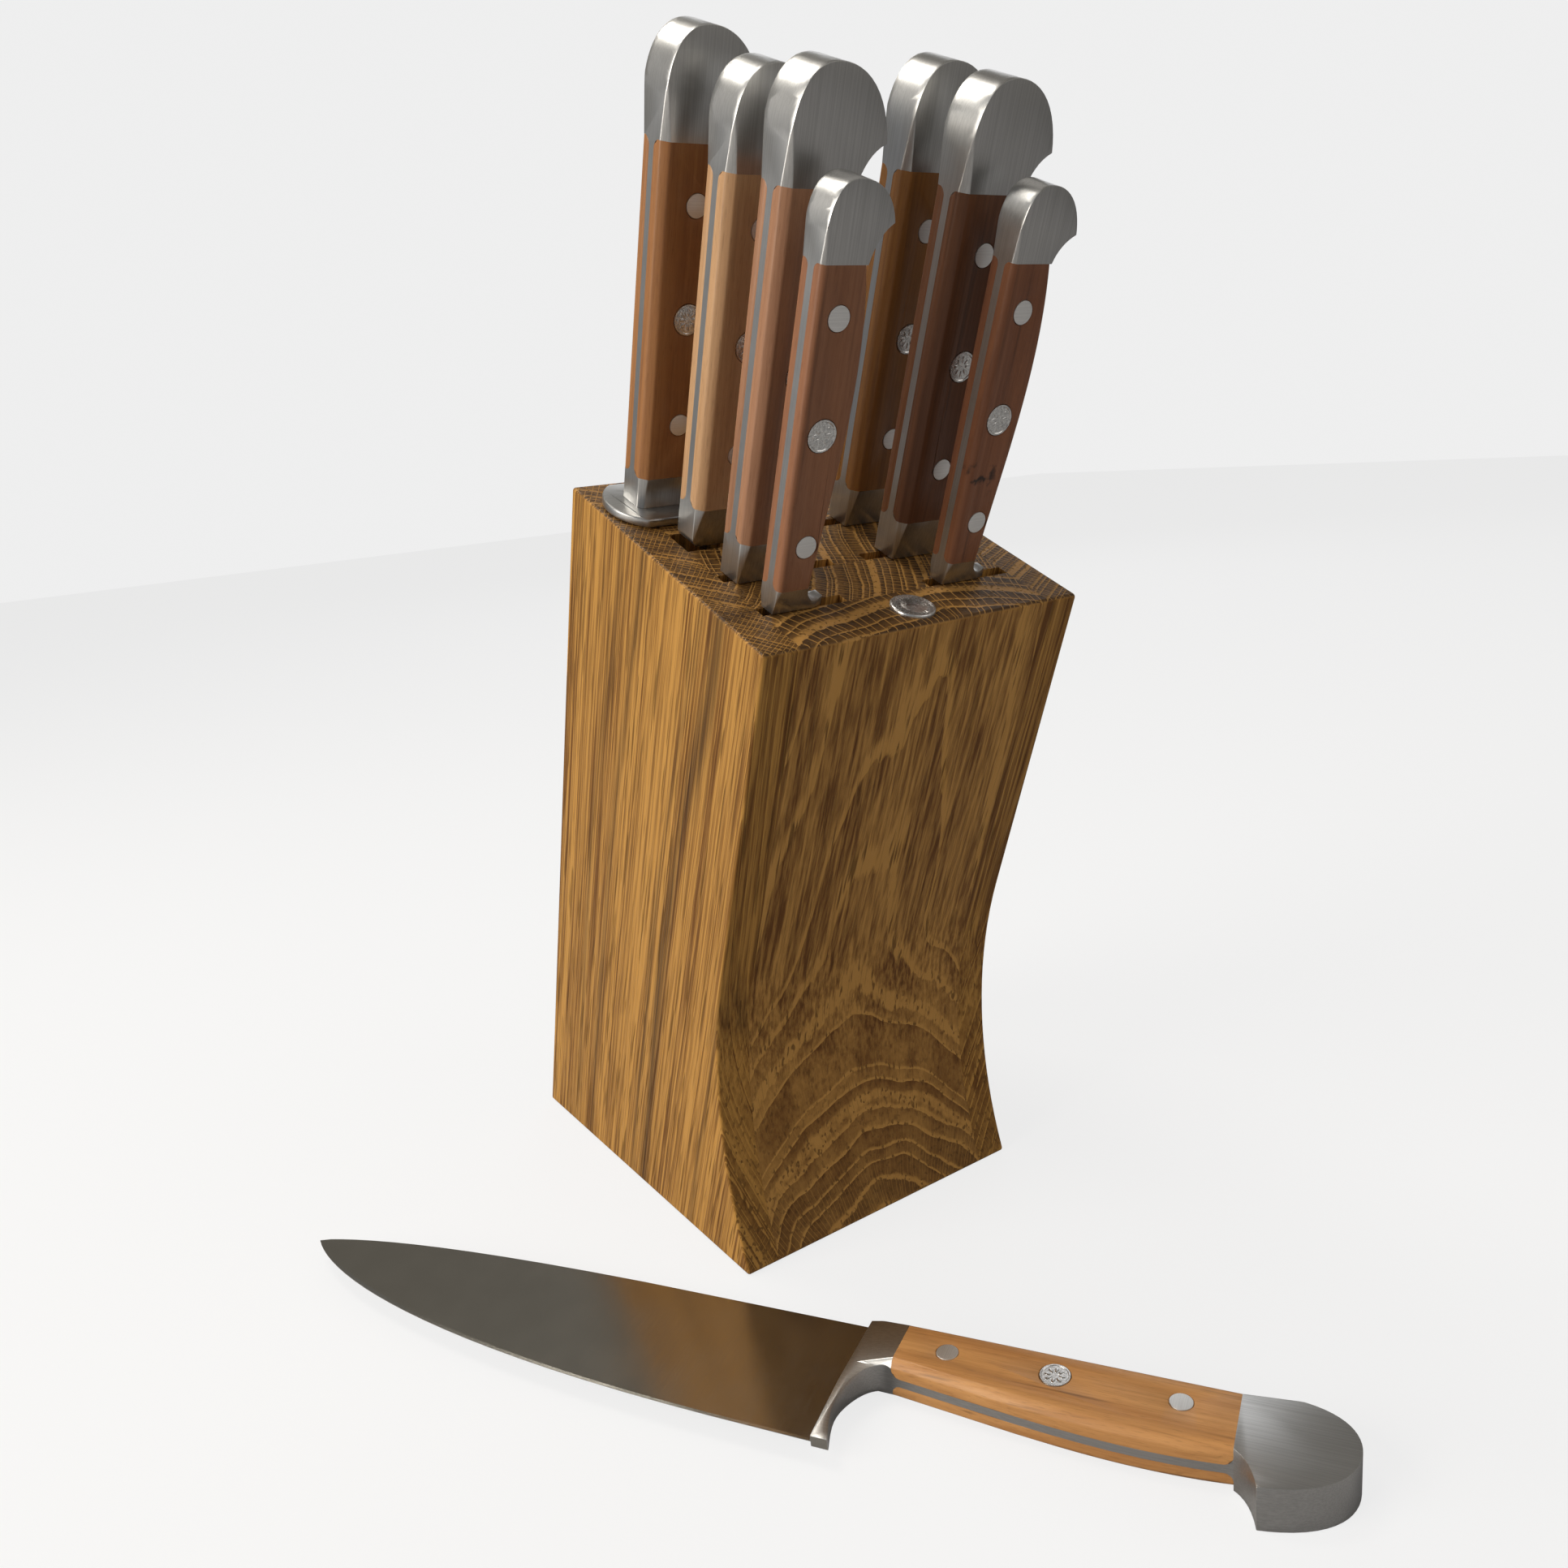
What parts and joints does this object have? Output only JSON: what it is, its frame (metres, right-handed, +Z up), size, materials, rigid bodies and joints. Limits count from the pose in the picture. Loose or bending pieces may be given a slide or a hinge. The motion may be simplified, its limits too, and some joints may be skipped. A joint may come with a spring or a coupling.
{
  "type": "knife block with knives",
  "caption": "Forward-leaning oak knife block with riveted wood-handled forged knives, a carving fork and a sharpening steel; a chef's knife lies in front.",
  "frame": {"origin": "middle of the block's base on the counter", "axes": "+X across the block's width to the right seen from the front, +Y to the block's back, +Z up"},
  "size_m": [0.2264, 0.3515, 0.379],
  "materials": {
    "oak_side": "oiled oak, straight grain, golden",
    "oak_core": "oiled oak, brown, arched growth rings on the hollow front",
    "satin_steel": "satin-ground stainless steel",
    "polished_steel": "polished stainless steel",
    "wood_orange": "oiled pear wood, orange brown",
    "wood_pale": "oiled pear wood, pale tan",
    "wood_pink": "oiled pear wood, pinkish tan",
    "wood_red": "oiled pear wood, reddish brown",
    "wood_dark": "oiled pear wood, dark brown"
  },
  "bodies": {
    "block": {"core_board_front": "oak_core", "core_board_2": "oak_core", "core_board_3": "oak_core", "core_board_4": "oak_core", "core_board_back": "oak_core", "side_board_left": "oak_side", "side_board_right": "oak_side", "top_badge": "satin_steel"},
    "slicing_knife": {"slicing_knife_blade": "satin_steel", "slicing_knife_scale_front": "wood_pink", "slicing_knife_scale_back": "wood_pink", "slicing_knife_rivets": "polished_steel", "slicing_knife_emblem_rivet": "polished_steel"},
    "paring_knife": {"paring_knife_blade": "satin_steel", "paring_knife_scale_front": "wood_red", "paring_knife_scale_back": "wood_red", "paring_knife_rivets": "polished_steel", "paring_knife_emblem_rivet": "polished_steel"},
    "utility_knife": {"utility_knife_blade": "satin_steel", "utility_knife_scale_front": "wood_orange", "utility_knife_scale_back": "wood_orange", "utility_knife_rivets": "polished_steel", "utility_knife_emblem_rivet": "polished_steel"},
    "bread_knife": {"bread_knife_blade": "satin_steel", "bread_knife_scale_front": "wood_dark", "bread_knife_scale_back": "wood_dark", "bread_knife_rivets": "polished_steel", "bread_knife_emblem_rivet": "polished_steel"},
    "larding_knife": {"larding_knife_blade": "satin_steel", "larding_knife_scale_front": "wood_red", "larding_knife_scale_back": "wood_red", "larding_knife_rivets": "polished_steel", "larding_knife_emblem_rivet": "polished_steel"},
    "chef_knife": {"chef_knife_blade": "satin_steel", "chef_knife_scale_front": "wood_orange", "chef_knife_scale_back": "wood_orange", "chef_knife_rivets": "polished_steel", "chef_knife_emblem_rivet": "polished_steel"},
    "carving_fork": {"carving_fork_prongs": "satin_steel", "carving_fork_scale_front": "wood_pale", "carving_fork_scale_back": "wood_pale", "carving_fork_rivets": "polished_steel", "carving_fork_emblem_rivet": "polished_steel"},
    "sharpening_steel": {"steel_rod": "satin_steel", "steel_guard": "satin_steel", "steel_handle_frame": "satin_steel", "steel_scale_front": "wood_orange", "steel_scale_back": "wood_orange", "steel_rivets": "polished_steel", "steel_emblem_rivet": "polished_steel"}
  },
  "joints": [
    {"name": "slicing_knife_draw", "type": "slide", "parent": "block", "child": "slicing_knife", "axis": [0, -0.3907, 0.9205], "range_m": [0, 0.21]},
    {"name": "paring_knife_draw", "type": "slide", "parent": "block", "child": "paring_knife", "axis": [0, -0.3907, 0.9205], "range_m": [0, 0.085]},
    {"name": "utility_knife_draw", "type": "slide", "parent": "block", "child": "utility_knife", "axis": [0, -0.3907, 0.9205], "range_m": [0, 0.165]},
    {"name": "bread_knife_draw", "type": "slide", "parent": "block", "child": "bread_knife", "axis": [0, -0.3907, 0.9205], "range_m": [0, 0.215]},
    {"name": "larding_knife_draw", "type": "slide", "parent": "block", "child": "larding_knife", "axis": [0, -0.3907, 0.9205], "range_m": [0, 0.105]},
    {"name": "carving_fork_draw", "type": "slide", "parent": "block", "child": "carving_fork", "axis": [0, -0.3907, 0.9205], "range_m": [0, 0.175]},
    {"name": "sharpening_steel_draw", "type": "slide", "parent": "block", "child": "sharpening_steel", "axis": [0, -0.3907, 0.9205], "range_m": [0, 0.25]},
    {"name": "chef_knife_lift", "type": "slide", "parent": "block", "child": "chef_knife", "axis": [0, 0, 1], "range_m": [0, 0.15]}
  ]
}
